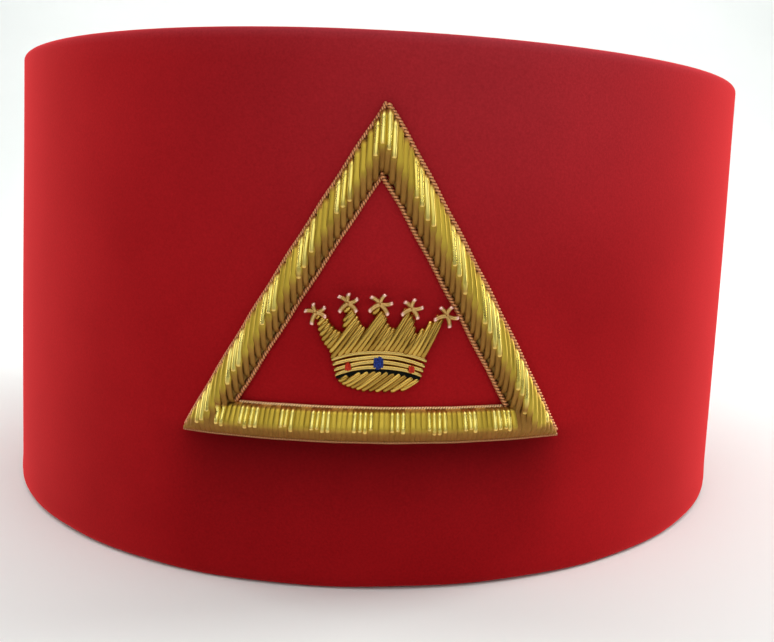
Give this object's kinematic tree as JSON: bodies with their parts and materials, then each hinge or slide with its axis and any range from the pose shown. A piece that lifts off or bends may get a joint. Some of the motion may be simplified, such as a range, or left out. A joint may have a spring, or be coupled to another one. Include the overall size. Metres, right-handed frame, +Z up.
{
  "type": "ceremonial crown cap",
  "caption": "Stiff oval cap in red velvet with a flat top and an open rim, and a padded gold-wire triangle that frames a small crown with stars on its front.",
  "frame": {"origin": "middle of the part's footprint, on the surface that its rim rests on", "axes": "+Z up through the top, -Y out of the front with the badge, +X to the right of someone who faces the front"},
  "size_m": [0.1743, 0.2148, 0.0945],
  "materials": {
    "red_velvet": "short velvet pile",
    "gold_wire": "smooth and rough coiled wire",
    "gold_cord": "beaded coiled wire",
    "dark_thread": "matte",
    "red_thread": "satin",
    "blue_thread": "satin"
  },
  "bodies": {
    "root": {"cap_side": "red_velvet", "cap_top": "red_velvet", "crown_body": "gold_wire", "crown_foot": "gold_wire", "band_shade_thread": "dark_thread", "jewel_left": "red_thread", "jewel_right": "red_thread", "jewel_centre": "blue_thread", "triangle_bar_left": "gold_wire", "triangle_bar_right": "gold_wire", "triangle_bar_base": "gold_wire", "band_strand_1": "gold_wire", "band_strand_2": "gold_wire", "band_strand_3": "gold_wire", "band_strand_4": "gold_wire", "star_1": "gold_wire", "star_2": "gold_wire", "star_3": "gold_wire", "star_4": "gold_wire", "star_5": "gold_wire", "outer_cord_left": "gold_cord", "outer_cord_right": "gold_cord", "outer_cord_base": "gold_cord", "inner_cord_left": "gold_cord", "inner_cord_right": "gold_cord", "inner_cord_base": "gold_cord"}
  },
  "joints": []
}
